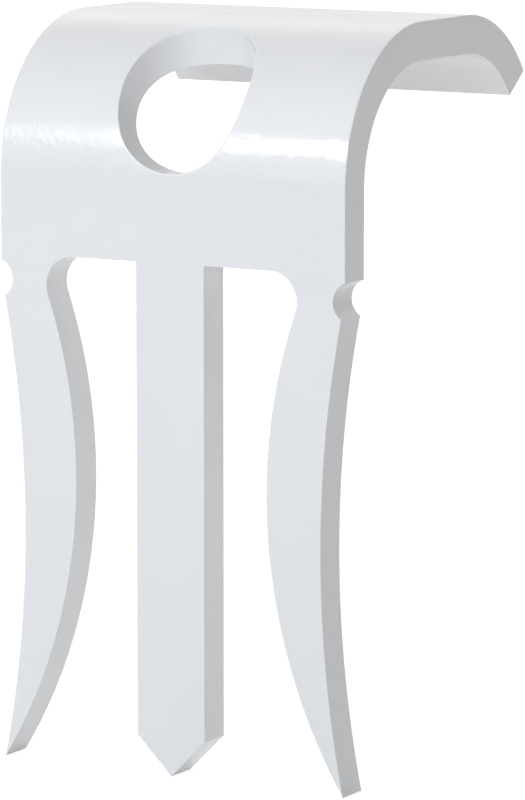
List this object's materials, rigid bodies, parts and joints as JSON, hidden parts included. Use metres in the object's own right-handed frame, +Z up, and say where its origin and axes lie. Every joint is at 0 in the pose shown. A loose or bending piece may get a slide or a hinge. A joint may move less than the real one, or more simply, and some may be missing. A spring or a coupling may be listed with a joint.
{
  "type": "cable clip",
  "caption": "White sheet-metal clip for flat cable: a strip bent over into a hooked top, with a hole in the bend and a fork of bowed spring prongs that presses into a drilled hole.",
  "frame": {"origin": "on the clip's centre line, level with the shoulder between the prongs and halfway through the sheet, where the fork enters its drilled hole", "axes": "+Z up out of the wall, along the prongs; +Y from the front plate towards the hooked lip; +X across the strip"},
  "size_m": [0.01, 0.0097, 0.0191],
  "materials": {
    "white_coat": "satin white powder coat on sheet steel"
  },
  "bodies": {
    "root": {"clip_body": "white_coat"}
  },
  "joints": []
}
